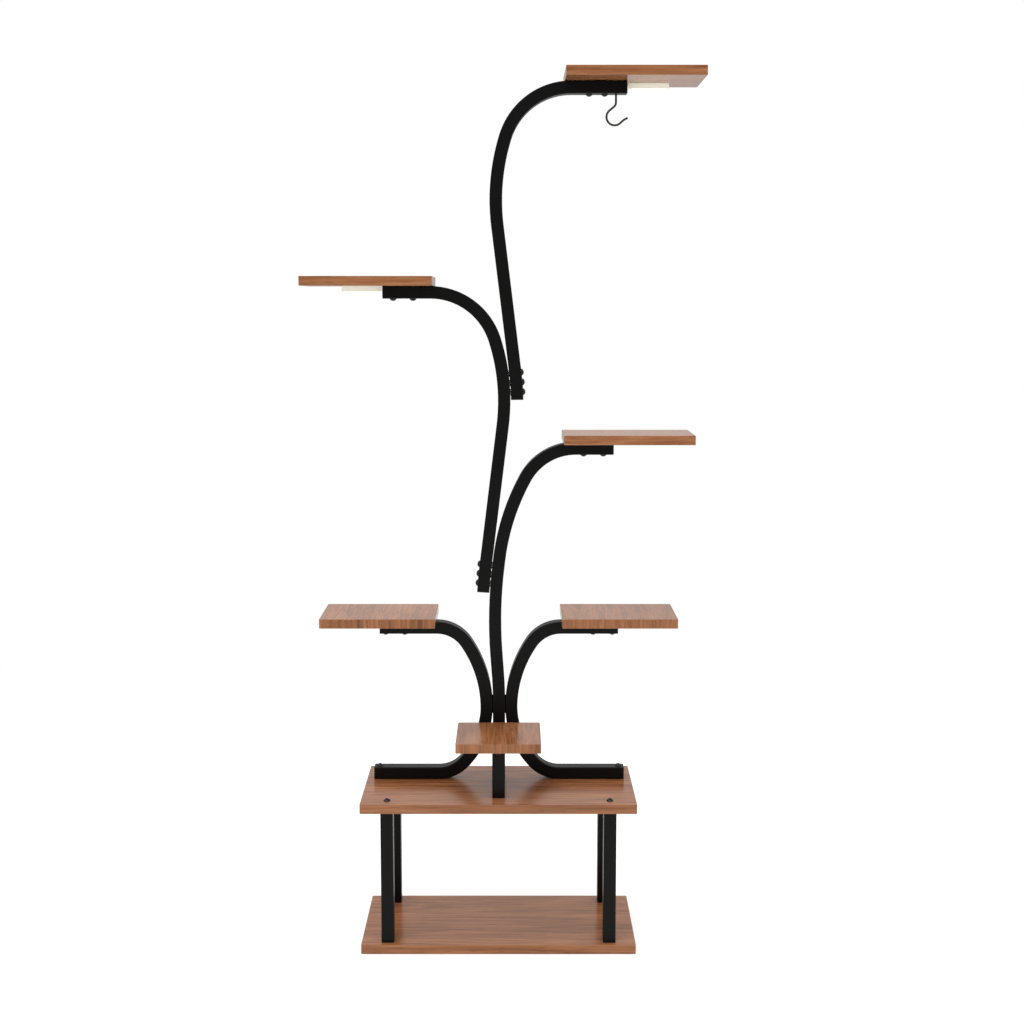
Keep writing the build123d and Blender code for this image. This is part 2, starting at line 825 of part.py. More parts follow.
def light_inlet():
    """Small socket in the housing's wall for a low-voltage plug."""
    back = light_depth / 2 - inlet_set_back
    width = inlet_width - 2 * inlet_clearance
    height = inlet_height - 2 * inlet_clearance
    block = Pos(0, back - inlet_depth / 2, inlet_level) * Box(width, inlet_depth, height, align=TOP_DOWN)
    bore_start = (0, back + overrun, inlet_level - height / 2)
    return block - drill(bore_start, (0, -1, 0), inlet_bore_radius, inlet_depth)


light_makers = {
    "housing": light_housing,
    "led_board": led_board,
    "leds": led_chips,
    "lens": light_lens,
    "inlet": light_inlet,
}

nodes = {}
nodes["lower_board"] = lower_board()
nodes["upper_board"] = upper_board()
for name, (x, y) in leg_places.items():
    nodes[name] = upright_tube(x, y, lower_board_top, leg_length)

leg_ends = [(x, y, end, way) for x, y in leg_places.values()
            for end, way in ((lower_board_top, 1), (upper_board_bottom, -1))]
nodes["leg_end_plugs"] = [threaded_plug(x, y, end, way) for x, y, end, way in leg_ends]
top_bolt_length = board_thickness + bolt_grip
base_bolt_length = board_thickness - counterbore_depth + bolt_grip
nodes["leg_top_bolts"] = [
    dome_bolt((x, y, upper_board_top), (0, 0, 1), top_bolt_length) for x, y in leg_places.values()
]
nodes["leg_base_bolts"] = [
    dome_bolt((x, y, counterbore_depth), (0, 0, -1), base_bolt_length) for x, y in leg_places.values()
]

nodes["left_arm"] = side_arm(-1)
nodes["right_arm"] = side_arm(1)
nodes["centre_arm"] = centre_arm()
nodes["upper_left_arm"] = upper_left_arm()
nodes["top_arm"] = top_arm()
nodes["front_post"] = front_post()

cap_places = [
    (at(-(foot_reach - cap_flange), foot_axis_z), heading(180)),
    (at(foot_reach - cap_flange, foot_axis_z), heading(0)),
    (side_paths[-1][1], heading(180)),
    (side_paths[1][1], heading(0)),
    (centre_end, heading(0)),
    (left_end, heading(180)),
    (top_end, heading(0)),
    (left_start, heading(left_start_angle + 180)),
    (top_start, heading(top_start_angle + 180)),
]
nodes["arm_end_caps"] = [end_cap(origin, outward) for origin, outward in cap_places]

nodes["upright_foot_plugs"] = [threaded_plug(x, y, upper_board_top, 1) for x, y in upright_places]
nodes["upright_foot_bolts"] = [
    dome_bolt((x, y, upper_board_bottom), (0, 0, -1), top_bolt_length) for x, y in upright_places
]
foot_bolt_length = tube_width + board_thickness + nut_height + bolt_end_past_nut
nodes["foot_bolts"] = [
    dome_bolt((x, arm_plane_y, upper_board_top + tube_width), (0, 0, 1), foot_bolt_length)
    for x in foot_bolt_places
]
nodes["foot_nuts"] = [hex_nut((x, arm_plane_y, upper_board_bottom), (0, 0, -1)) for x in foot_bolt_places]

nodes["tie_plate"] = tie_plate()
tie_face = tie_seat_y + tie_plate_thickness
nodes["tie_bolts"] = [
    dome_bolt((x, tie_face, side_touch_z), (0, 1, 0), tie_plate_thickness + bolt_grip) for x in tie_places
]
nodes["tie_rivet_nuts"] = [rivet_nut((x, tie_seat_y, side_touch_z), (0, -1, 0)) for x in tie_places]

nodes["arm_joint_bolts"] = []
nodes["arm_rivet_nuts"] = []
for point, out in left_joint_bolts + top_joint_bolts:
    nodes["arm_joint_bolts"].append(dome_bolt(point, out, joint_bolt_length))
    flange_face = point - out * (tube_width + rivet_flange_slack)
    nodes["arm_rivet_nuts"].append(rivet_nut(flange_face, out * -1))

shelf_bolt_length = tube_width + bolt_grip
nodes["shelf_bolts"] = []
nodes["shelf_inserts"] = []
for name, spec in shelf_specs.items():
    nodes[name] = arm_shelf(name)
    for x in spec["bolts"]:
        origin = (x, arm_plane_y, spec["tube_bottom"])
        nodes["shelf_bolts"].append(dome_bolt(origin, (0, 0, -1), shelf_bolt_length))
        nodes["shelf_inserts"].append(shelf_insert(x, arm_plane_y, spec["seat"]))

nodes["front_shelf"] = front_shelf()
post_back_y = post_y + tube_depth / 2
post_front_y = post_y - tube_depth / 2
nodes["post_bracket"] = shelf_bracket(post_back_y, 1)
nodes["column_bracket"] = shelf_bracket(column_seat_y, -1)
post_bolt_length = tube_depth + bracket_thickness + nut_height + bolt_end_past_nut
nodes["post_bolt"] = dome_bolt((0, post_front_y, bracket_bolt_z), (0, -1, 0), post_bolt_length)
nodes["post_nut"] = hex_nut((0, post_back_y + bracket_thickness, bracket_bolt_z), (0, 1, 0))
nodes["column_bolt"] = dome_bolt(
    (0, column_seat_y - bracket_thickness, bracket_bolt_z), (0, -1, 0), bracket_thickness + bolt_grip
)
nodes["column_rivet_nut"] = rivet_nut((0, column_seat_y, bracket_bolt_z), (0, 1, 0))
screw_seat = front_shelf_bottom - bracket_thickness
screw_length = bracket_thickness + screw_bite - overrun
nodes["bracket_screws"] = [
    pan_screw((0, y, screw_seat), (0, 0, 1), screw_length) for y in bracket_screw_points()
]

nodes["hook"] = hook()
nodes["hook_nut"] = hook_nut()

for light, (x, seat) in light_places.items():
    for piece, maker in light_makers.items():
        made = maker()
        solids = made if isinstance(made, list) else [made]
        nodes[light + "_" + piece] = [Pos(x, light_y, seat) * solid for solid in solids]
light_screw_length = light_wall + screw_bite - overrun
nodes["light_screws"] = [
    pan_screw((x + sx, light_y + sy, seat - light_wall), (0, 0, 1), light_screw_length)
    for x, seat in light_places.values()
    for sx, sy in light_screw_places
]

os.makedirs("parts", exist_ok=True)
for name, made in nodes.items():
    solids = made if isinstance(made, list) else [made]
    shape = Compound(children=[solid.solids()[0] for solid in solids])
    export_step(shape, "parts/" + name + ".step")
print("nodes", len(nodes))
print("shelf tops", {name: round(spec["top"], 1) for name, spec in shelf_specs.items()})
print("touch height", round(side_touch_z, 1), "joints", left_joint, top_joint)
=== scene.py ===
# %% [markdown]
# # A plant stand with two grow lights
#
# The steel tubes, boards, bolts, hook and lights are already modelled to size as solids.
# This lesson loads them as a fixed frame and gives each one the finish of the real object.
# It ends with the same view as a product photograph in a white studio.

import math

import bpy
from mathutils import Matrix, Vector


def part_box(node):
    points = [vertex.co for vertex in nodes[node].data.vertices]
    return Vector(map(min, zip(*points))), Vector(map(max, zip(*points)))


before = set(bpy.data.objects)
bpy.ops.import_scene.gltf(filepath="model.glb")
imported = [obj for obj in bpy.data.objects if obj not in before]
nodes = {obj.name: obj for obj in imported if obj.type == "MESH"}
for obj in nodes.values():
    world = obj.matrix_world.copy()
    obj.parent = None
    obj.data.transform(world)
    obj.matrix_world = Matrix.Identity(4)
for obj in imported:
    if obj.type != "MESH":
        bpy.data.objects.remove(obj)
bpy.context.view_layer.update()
scene = bpy.context.scene
scene.view_settings.view_transform = "Standard"

# %% [markdown]
# ## The camera
#
# The photograph looks at the stand from the front, a little above the middle and slightly down.
# A camera can be aimed by eye or worked out from the object's own straight edges.
# Here the focal length in pixels, the tilt and the place come from the boards' edges,
# so that every shelf falls where the photograph has it.

# %% Place the camera
photo_width_px = 1024
focal_length_px = 1623
camera_tilt = math.radians(7.3)

camera_data = bpy.data.cameras.new("front_camera")
camera_data.sensor_width = 36
camera_data.lens = camera_data.sensor_width * focal_length_px / photo_width_px
camera = bpy.data.objects.new("front_camera", camera_data)
scene.collection.objects.link(camera)
camera.location = (0.0236, -2.833, 1.126)
camera.rotation_euler = (math.pi / 2 - camera_tilt, 0, 0)
scene.camera = camera
print("lens", round(camera_data.lens, 2), "mm")

# %% [markdown]
# ## Small helpers for node trees
#
# A material is a tree of nodes. Writing each node out takes many lines,
# so one helper adds a node with its settings and another makes a reusable group.


# %% Node helpers
def add_node(tree, kind, values=None, **settings):
    node = tree.nodes.new(kind)
    for name, value in settings.items():
        setattr(node, name, value)
    for socket, value in (values or {}).items():
        if isinstance(value, bpy.types.NodeSocket):
            tree.links.new(value, node.inputs[socket])
        else:
            node.inputs[socket].default_value = value
    return node


def new_group(name, inputs, outputs):
    tree = bpy.data.node_groups.new(name, "ShaderNodeTree")
    for socket, kind in inputs.items():
        tree.interface.new_socket(socket, in_out="INPUT", socket_type="NodeSocket" + kind)
    for socket, kind in outputs.items():
        tree.interface.new_socket(socket, in_out="OUTPUT", socket_type="NodeSocket" + kind)
    return tree, tree.nodes.new("NodeGroupInput").outputs, tree.nodes.new("NodeGroupOutput").inputs


def use_group(tree, group, values):
    node = tree.nodes.new("ShaderNodeGroup")
    node.node_tree = group
    for socket, value in values.items():
        if isinstance(value, bpy.types.NodeSocket):
            tree.links.new(value, node.inputs[socket])
        else:
            node.inputs[socket].default_value = value
    return node.outputs


def math_node(tree, operation, first, second=0.0):
    return add_node(tree, "ShaderNodeMath", {0: first, 1: second}, operation=operation).outputs[0]


def mix_floats(tree, factor, first, second):
    return add_node(tree, "ShaderNodeMix", {0: factor, 2: first, 3: second}, data_type="FLOAT").outputs[0]


def mix_colours(tree, factor, first, second, blend="MIX"):
    node = add_node(tree, "ShaderNodeMix", {0: factor, 6: first, 7: second}, data_type="RGBA", blend_type=blend)
    return node.outputs[2]


def stretched(tree, vector, scale):
    return add_node(tree, "ShaderNodeVectorMath", {0: vector, 1: scale}, operation="MULTIPLY").outputs[0]


def noise(tree, vector, scale, detail=2.0, roughness=0.5):
    values = {"Vector": vector, "Scale": scale, "Detail": detail, "Roughness": roughness}
    return add_node(tree, "ShaderNodeTexNoise", values).outputs["Fac"]


def map_range(tree, value, low, high, to_low=0.0, to_high=1.0):
    values = {"Value": value, "From Min": low, "From Max": high, "To Min": to_low, "To Max": to_high}
    return add_node(tree, "ShaderNodeMapRange", values, interpolation_type="SMOOTHSTEP").outputs[0]


def new_material(name, **values):
    material = bpy.data.materials.new(name)
    material.use_nodes = True
    tree = material.node_tree
    shader = tree.nodes["Principled BSDF"]
    for socket, value in values.items():
        shader.inputs[socket.replace("_", " ")].default_value = value
    place = tree.nodes.new("ShaderNodeTexCoord").outputs
    return material, tree, shader.inputs, place


print("node helpers ready")

# %% [markdown]
# ## The studio
#
# The photograph has a plain white background. White could come from bright lamps,
# but these would bleach the wood. Instead the world shows white only where the camera sees it,
# and what the stand reflects is pale behind it and dim on the viewer's side, as in a studio
# with a white backdrop. That dim side keeps the black steel black. Overhead the room is
# brightest, which lights the tops of the boards.

# %% Build the world
behind_level = 0.68
viewer_side_level = 0.39
overhead_level = 1.45

world = bpy.data.worlds.new("white_studio")
scene.world = world
world.use_nodes = True
world_tree = world.node_tree
direction = world_tree.nodes.new("ShaderNodeTexCoord").outputs["Generated"]
split = add_node(world_tree, "ShaderNodeSeparateXYZ", {0: direction}).outputs
towards_back = map_range(world_tree, split["Y"], -0.3, 0.3)
towards_top = map_range(world_tree, split["Z"], 0.3, 0.9)
side_level = mix_floats(world_tree, towards_back, viewer_side_level, behind_level)
room_level = mix_floats(world_tree, towards_top, side_level, overhead_level)
rays = world_tree.nodes.new("ShaderNodeLightPath").outputs
sees_backdrop = math_node(world_tree, "MAXIMUM", rays["Is Camera Ray"], rays["Is Transmission Ray"])
level = mix_floats(world_tree, sees_backdrop, room_level, 1.0)
world_tree.links.new(level, world_tree.nodes["Background"].inputs["Strength"])
world_tree.nodes["Background"].inputs["Color"].default_value = (1, 1, 1, 1)
print("world", behind_level, "behind,", viewer_side_level, "on the viewer's side")

# %% [markdown]
# ## The floor
#
# The floor is white too and still has to carry the stand's soft shadow.
# A pale diffuse surface does that. A little light of its own, only for rays that look at it,
# lifts it to white without throwing more light up at the shelves. Away from the stand
# that light takes over, so the floor runs into the white backdrop without a line.
# From below the floor is clear, so that the stand's underside can be looked at too.

# %% Build the floor
floor_half = 5.0
floor_level = -0.0004
shadow_reach = 1.2
backdrop_reach = 2.6
shadow_glow = 0.5
backdrop_glow = 1.0
paper_when_seen = (0.62, 0.62, 0.61, 1)
paper_as_bounce = (0.8, 0.8, 0.79, 1)
floor_mesh = bpy.data.meshes.new("studio_floor")
floor_corners = [
    (-floor_half, -floor_half, floor_level),
    (floor_half, -floor_half, floor_level),
    (floor_half, floor_half, floor_level),
    (-floor_half, floor_half, floor_level),
]
floor_mesh.from_pydata(floor_corners, [], [(0, 1, 2, 3)])
floor = bpy.data.objects.new("studio_floor", floor_mesh)
scene.collection.objects.link(floor)

paper, tree, shader, place = new_material("white_floor", Roughness=0.95, Specular_IOR_Level=0.0)
rays = tree.nodes.new("ShaderNodeLightPath").outputs
looks_at_it = math_node(tree, "MAXIMUM", rays["Is Camera Ray"], rays["Is Glossy Ray"])
looks_at_it = math_node(tree, "MAXIMUM", looks_at_it, rays["Is Transmission Ray"])
distance = add_node(tree, "ShaderNodeVectorMath", {0: place["Object"]}, operation="LENGTH").outputs["Value"]
far_off = map_range(tree, distance, shadow_reach, backdrop_reach)
near_colour = mix_colours(tree, looks_at_it, paper_as_bounce, paper_when_seen)
faded = mix_colours(tree, math_node(tree, "MULTIPLY", far_off, looks_at_it), near_colour, (0, 0, 0, 1))
tree.links.new(faded, shader["Base Color"])
glow = math_node(tree, "MULTIPLY", looks_at_it, mix_floats(tree, far_off, shadow_glow, backdrop_glow))
shader["Emission Color"].default_value = (1, 1, 1, 1)
tree.links.new(glow, shader["Emission Strength"])
from_below = tree.nodes.new("ShaderNodeNewGeometry").outputs["Backfacing"]
clear = tree.nodes.new("ShaderNodeBsdfTransparent").outputs[0]
surface = tree.nodes["Principled BSDF"].outputs[0]
one_sided = add_node(tree, "ShaderNodeMixShader", {0: from_below, 1: surface, 2: clear}).outputs[0]
tree.links.new(one_sided, tree.nodes["Material Output"].inputs["Surface"])
floor_mesh.materials.append(paper)
print("floor", 2 * floor_half, "m wide")

# %% [markdown]
# ## The lamps
#
# One large soft lamp hangs high in front on the left, and a weaker one fills from the right.
# Large lamps give the soft edges to the shadows that a photograph of furniture has.
# Their power is set so that a colour renders about as it is written.


# %% Place the lamps
lamp_target = Vector((0, 0, 0.8))


def soft_lamp(name, location, size, power):
    data = bpy.data.lights.new(name, "AREA")
    data.shape = "SQUARE"
    data.size = size
    data.energy = power
    lamp = bpy.data.objects.new(name, data)
    scene.collection.objects.link(lamp)
    lamp.location = location
    lamp.rotation_euler = (lamp_target - Vector(location)).to_track_quat("-Z", "Y").to_euler()


soft_lamp("key_lamp", (-2.2, -3.6, 6.2), 4.0, 125)
soft_lamp("fill_lamp", (3.8, -3.8, 2.6), 3.4, 46)

# %% [markdown]
# ## Which way the wood runs
#
# The boards are panels with a walnut pattern. On the two base boards and the upper shelves
# the pattern runs from left to right. On the low shelves and the small front shelf it runs
# from front to back, and their front edges show short upright streaks.
# A flat picture could be stretched over each face, but it would show its seams.
# This group turns the point in space so that its first number always runs along the grain.

# %% Grain direction group
facing_limit = 0.7

grain_way, given, result = new_group(
    "grain_direction",
    {"Vector": "Vector", "Face Normal": "Vector", "Front To Back": "Float"},
    {"Grain Vector": "Vector", "Flat Face": "Float"},
)
point = add_node(grain_way, "ShaderNodeSeparateXYZ", {0: given["Vector"]}).outputs
facing = add_node(grain_way, "ShaderNodeSeparateXYZ", {0: given["Face Normal"]}).outputs


def faces_along(axis):
    return math_node(grain_way, "GREATER_THAN", math_node(grain_way, "ABSOLUTE", facing[axis]), facing_limit)


faces_side = faces_along("X")
faces_front = faces_along("Y")
faces_up = faces_along("Z")

across_along = mix_floats(grain_way, faces_side, point["X"], point["Y"])
across_width = mix_floats(grain_way, faces_up, point["Z"], point["Y"])
left_to_right = add_node(grain_way, "ShaderNodeCombineXYZ", {0: across_along, 1: across_width}).outputs[0]

deep_along = mix_floats(grain_way, faces_front, point["Y"], point["Z"])
deep_width = mix_floats(grain_way, faces_side, point["X"], point["Z"])
front_to_back = add_node(grain_way, "ShaderNodeCombineXYZ", {0: deep_along, 1: deep_width}).outputs[0]

chosen = add_node(
    grain_way,
    "ShaderNodeMix",
    {0: given["Front To Back"], 4: left_to_right, 5: front_to_back},
    data_type="VECTOR",
).outputs[1]
grain_way.links.new(chosen, result["Grain Vector"])
grain_way.links.new(faces_up, result["Flat Face"])
print("group", grain_way.name)

# %% [markdown]
# ## The walnut pattern
#
# Walnut has broad tone bands with pointed loops, fine streaks and short dark pores.
# Each is a noise that is stretched along the grain. The loops are the height lines
# of the broad noise, which is how growth rings look where a board is cut lengthways.

# %% Walnut group
wander_stretch = (5, 22, 22)
wander_reach = 0.012
band_stretch = (2.2, 17, 17)
rings_per_band = 46
streak_stretch = (9, 210, 210)
pore_stretch = (28, 330, 330)
pore_strength = 0.38
dark_walnut = (0.166, 0.060, 0.022, 1)
middle_walnut = (0.305, 0.118, 0.046, 1)
light_walnut = (0.430, 0.186, 0.080, 1)
pore_brown = (0.1, 0.034, 0.013, 1)

walnut_grain, given, result = new_group(
    "walnut_grain",
    {"Grain Vector": "Vector", "Seed": "Float"},
    {"Color": "Color", "Roughness": "Float", "Height": "Float"},
)
seed_offset = add_node(walnut_grain, "ShaderNodeCombineXYZ", {axis: given["Seed"] for axis in range(3)})
seeded = add_node(
    walnut_grain,
    "ShaderNodeVectorMath",
    {0: given["Grain Vector"], 1: seed_offset.outputs[0]},
    operation="ADD",
).outputs[0]
wander = noise(walnut_grain, stretched(walnut_grain, seeded, wander_stretch), 1.0, 2)
from_middle = math_node(walnut_grain, "SUBTRACT", wander, 0.5)
sideways = math_node(walnut_grain, "MULTIPLY", from_middle, wander_reach)
shift = add_node(walnut_grain, "ShaderNodeCombineXYZ", {1: sideways}).outputs[0]
bent = add_node(walnut_grain, "ShaderNodeVectorMath", {0: seeded, 1: shift}, operation="ADD").outputs[0]

bands = noise(walnut_grain, stretched(walnut_grain, bent, band_stretch), 1.0, 1.5)
loops = math_node(walnut_grain, "SINE", math_node(walnut_grain, "MULTIPLY", bands, rings_per_band))
streaks = noise(walnut_grain, stretched(walnut_grain, bent, streak_stretch), 1.0, 4, 0.6)
pores = noise(walnut_grain, stretched(walnut_grain, bent, pore_stretch), 1.0, 1)
pore_mask = map_range(walnut_grain, pores, 0.6, 0.72)

tone = math_node(walnut_grain, "MULTIPLY", streaks, 0.62)
tone = math_node(walnut_grain, "ADD", tone, math_node(walnut_grain, "MULTIPLY", bands, 0.3))
tone = math_node(walnut_grain, "ADD", tone, math_node(walnut_grain, "MULTIPLY", loops, 0.035))
ramp = add_node(walnut_grain, "ShaderNodeValToRGB", {0: tone})
ramp.color_ramp.elements[0].position = 0.3
ramp.color_ramp.elements[0].color = dark_walnut
ramp.color_ramp.elements[1].position = 0.64
ramp.color_ramp.elements[1].color = light_walnut
middle = ramp.color_ramp.elements.new(0.46)
middle.color = middle_walnut
pore_tint = math_node(walnut_grain, "MULTIPLY", pore_mask, pore_strength)
pored = mix_colours(walnut_grain, pore_tint, ramp.outputs[0], pore_brown)
walnut_grain.links.new(pored, result["Color"])
walnut_grain.links.new(map_range(walnut_grain, streaks, 0.2, 0.8, 0.16, 0.26), result["Roughness"])
pore_depth = math_node(walnut_grain, "MULTIPLY", pore_mask, 0.5)
walnut_grain.links.new(math_node(walnut_grain, "SUBTRACT", streaks, pore_depth), result["Height"])
print("group", walnut_grain.name)

# %% [markdown]
# ## Worn edges
#
# Hands and cartons rub the corners of a real stand first. A worn edge could be painted by hand.
# Comparing the true surface direction with one that is rounded off near corners finds every edge,
# and a noise breaks it up so that it doesn't look drawn.

# %% Edge wear group
edge_wear, given, result = new_group(
    "edge_wear",
    {"Vector": "Vector", "Radius": "Float", "Patchiness": "Float"},
    {"Mask": "Float"},
)
rounded = add_node(edge_wear, "ShaderNodeBevel", {"Radius": given["Radius"]}, samples=4).outputs[0]
true_way = edge_wear.nodes.new("ShaderNodeNewGeometry").outputs["Normal"]
ways = {0: rounded, 1: true_way}
likeness = add_node(edge_wear, "ShaderNodeVectorMath", ways, operation="DOT_PRODUCT").outputs["Value"]
at_edge = map_range(edge_wear, likeness, 0.995, 0.9)
patches = map_range(edge_wear, noise(edge_wear, given["Vector"], 60.0, 3), 0.4, 0.65)
broken = mix_floats(edge_wear, given["Patchiness"], 1.0, patches)
edge_wear.links.new(math_node(edge_wear, "MULTIPLY", at_edge, broken), result["Mask"])
print("group", edge_wear.name)

# %% [markdown]
# ## Fine surface texture
#
# Powder paint has a faint orange-peel surface and moulded plastic a finer one.
# Both are small bumps with a slow change in shine from place to place, so one group serves both.

# %% Fine texture group
fine_texture, given, result = new_group(
    "fine_texture",
    {"Vector": "Vector", "Bumps Per Metre": "Float", "Shine Low": "Float", "Shine High": "Float"},
    {"Height": "Float", "Roughness": "Float", "Tone": "Float"},
)
bump_size = {"Vector": given["Vector"], "Scale": given["Bumps Per Metre"]}
bumps = add_node(fine_texture, "ShaderNodeTexNoise", bump_size)
slow = noise(fine_texture, given["Vector"], 14.0, 3)
fine_texture.links.new(bumps.outputs["Fac"], result["Height"])
shine = mix_floats(fine_texture, slow, given["Shine Low"], given["Shine High"])
fine_texture.links.new(shine, result["Roughness"])
fine_texture.links.new(slow, result["Tone"])
print("group", fine_texture.name)

# %% [markdown]
# ## The boards
#
# A board is a pressed panel with a thin strip glued round its edges.
# The strip's glue line is a hair-thin darker line a millimetre inside the edge of the flat faces.
# The surface is smooth and fairly glossy: seen at a low angle it mirrors the steel and the white room,
# which is why the tops look paler than the front edges.


# %% Finish the boards
glue_line_inset = 0.0011
glue_line_brown = (0.09, 0.035, 0.016, 1)
rubbed_walnut = (0.42, 0.21, 0.11, 1)


def board_material(node, front_to_back, seed):
    low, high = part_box(node)
    centre = (low + high) / 2
    material, tree, shader, place = new_material("walnut_" + node, Specular_IOR_Level=0.33)
    values = {"Vector": place["Object"], "Face Normal": place["Normal"], "Front To Back": front_to_back}
    way = use_group(tree, grain_way, values)
    wood = use_group(tree, walnut_grain, {"Grain Vector": way["Grain Vector"], "Seed": seed})

    ends = {0: place["Object"], 1: centre}
    from_centre = add_node(tree, "ShaderNodeVectorMath", ends, operation="SUBTRACT").outputs[0]
    from_centre = add_node(tree, "ShaderNodeVectorMath", {0: from_centre}, operation="ABSOLUTE").outputs[0]
    offset = add_node(tree, "ShaderNodeSeparateXYZ", {0: from_centre}).outputs
    to_side = math_node(tree, "SUBTRACT", (high.x - low.x) / 2, offset["X"])
    to_front = math_node(tree, "SUBTRACT", (high.y - low.y) / 2, offset["Y"])
    to_edge = math_node(tree, "MINIMUM", to_side, to_front)
    off_line = math_node(tree, "ABSOLUTE", math_node(tree, "SUBTRACT", to_edge, glue_line_inset))
    glue_line = math_node(tree, "MULTIPLY", map_range(tree, off_line, 0.0002, 0.00005), way["Flat Face"])
    line_tint = math_node(tree, "MULTIPLY", glue_line, 0.55)
    with_line = mix_colours(tree, line_tint, wood["Color"], glue_line_brown)
    wear = use_group(tree, edge_wear, {"Vector": place["Object"], "Radius": 0.0008, "Patchiness": 0.8})
    worn = mix_colours(tree, math_node(tree, "MULTIPLY", wear["Mask"], 0.25), with_line, rubbed_walnut)
    tree.links.new(worn, shader["Base Color"])
    tree.links.new(wood["Roughness"], shader["Roughness"])
    bump = add_node(tree, "ShaderNodeBump", {"Strength": 0.22, "Distance": 0.0003, "Height": wood["Height"]})
    tree.links.new(bump.outputs[0], shader["Normal"])
    return material


def give(material, *names):
    for name in names:
        for slot in nodes[name].material_slots:
            slot.material = material


board_ways = {
    "lower_board": 0,
    "upper_board": 0,
    "front_shelf": 1,
    "left_lower_shelf": 1,
    "right_lower_shelf": 1,
    "right_middle_shelf": 0,
    "upper_left_shelf": 0,
    "top_shelf": 0,
}
for number, (board_name, way_of_grain) in enumerate(board_ways.items()):
    give(board_material(board_name, way_of_grain, 0.37 * (number + 1)), board_name)
print("boards", len(board_ways))

# %% [markdown]
# ## The steel tubes
#
# The legs, the post and the bent arms are steel tube with a black satin powder coat.
# Plain black paint would look like a hole in the picture. The coat has a faint orange peel,
# shine that changes slowly along the tube, and slightly greyer corners.

# %% Finish the steel
powder_coat, tree, shader, place = new_material("black_powder_coat", Specular_IOR_Level=0.145)
coat = use_group(
    tree,
    fine_texture,
    {"Vector": place["Object"], "Bumps Per Metre": 900.0, "Shine Low": 0.34, "Shine High": 0.48},
)
wear = use_group(tree, edge_wear, {"Vector": place["Object"], "Radius": 0.0012, "Patchiness": 0.5})
black = mix_colours(tree, coat["Tone"], (0.0012, 0.0011, 0.0010, 1), (0.0030, 0.0028, 0.0026, 1))
grey_edges = mix_colours(tree, math_node(tree, "MULTIPLY", wear["Mask"], 0.35), black, (0.022, 0.021, 0.020, 1))
tree.links.new(grey_edges, shader["Base Color"])
tree.links.new(coat["Roughness"], shader["Roughness"])
bump = add_node(tree, "ShaderNodeBump", {"Strength": 0.12, "Distance": 0.0003, "Height": coat["Height"]})
tree.links.new(bump.outputs[0], shader["Normal"])

legs = ["front_left_leg", "front_right_leg", "rear_left_leg", "rear_right_leg"]
arms = ["left_arm", "right_arm", "centre_arm", "upper_left_arm", "top_arm"]
give(powder_coat, *legs, *arms, "front_post", "tie_plate", "post_bracket", "column_bracket")
print("steel pieces", len(legs) + len(arms) + 4)

# %% [markdown]
# ## The bolts
#
# The domed bolts are blackened and glossy, so each head shows a small highlight of the room.
# Fine turning marks run round them on the real thing. A very fine noise breaks the highlight enough.

# %% Finish the bolts
black_bolt, tree, shader, place = new_material("blackened_bolt", Specular_IOR_Level=0.36)
turned = use_group(
    tree,
    fine_texture,
    {"Vector": place["Object"], "Bumps Per Metre": 2600.0, "Shine Low": 0.12, "Shine High": 0.24},
)
wear = use_group(tree, edge_wear, {"Vector": place["Object"], "Radius": 0.0004, "Patchiness": 0.6})
bolt_tone = mix_colours(tree, turned["Tone"], (0.002, 0.002, 0.002, 1), (0.005, 0.005, 0.005, 1))
bolt_wear = math_node(tree, "MULTIPLY", wear["Mask"], 0.3)
bolt_worn = mix_colours(tree, bolt_wear, bolt_tone, (0.05, 0.05, 0.048, 1))
tree.links.new(bolt_worn, shader["Base Color"])
tree.links.new(turned["Roughness"], shader["Roughness"])
bump = add_node(tree, "ShaderNodeBump", {"Strength": 0.06, "Distance": 0.0001, "Height": turned["Height"]})
tree.links.new(bump.outputs[0], shader["Normal"])

bolt_names = [
    "leg_top_bolts",
    "leg_base_bolts",
    "upright_foot_bolts",
    "foot_bolts",
    "tie_bolts",
    "arm_joint_bolts",
    "shelf_bolts",
    "post_bolt",
    "column_bolt",
    "bracket_screws",
    "light_screws",
]
give(black_bolt, *bolt_names)
print("bolt sets", len(bolt_names))

# %% [markdown]
# ## Zinc parts, plastic caps and the wire hook
#
# Nuts, inserts and rivet nuts are zinc plated: grey metal with cloudy patches.
# The tube ends are closed by matt black plastic caps. The hook is thin wire, dipped black,
# and a shade browner than the steel.


# %% Finish the small parts
def small_part_material(name, dark, light, bumps, shine, strength, **values):
    material, tree, shader, place = new_material(name, **values)
    shine_low, shine_high = shine
    settings = {
        "Vector": place["Object"],
        "Bumps Per Metre": bumps,
        "Shine Low": shine_low,
        "Shine High": shine_high,
    }
    surface = use_group(tree, fine_texture, settings)
    cloudy = mix_colours(tree, surface["Tone"], dark, light)
    wear = use_group(tree, edge_wear, {"Vector": place["Object"], "Radius": 0.0005, "Patchiness": 0.7})
    lighter = mix_colours(tree, math_node(tree, "MULTIPLY", wear["Mask"], 0.3), cloudy, light)
    tree.links.new(lighter, shader["Base Color"])
    tree.links.new(surface["Roughness"], shader["Roughness"])
    relief = {"Strength": strength, "Distance": 0.0002, "Height": surface["Height"]}
    tree.links.new(add_node(tree, "ShaderNodeBump", relief).outputs[0], shader["Normal"])
    return material


zinc = small_part_material(
    "zinc_plate", (0.36, 0.37, 0.38, 1), (0.62, 0.63, 0.64, 1), 420.0, (0.24, 0.42), 0.08, Metallic=1.0
)
give(zinc, "foot_nuts", "post_nut", "shelf_inserts", "hook_nut")
give(zinc, "arm_rivet_nuts", "tie_rivet_nuts", "column_rivet_nut")

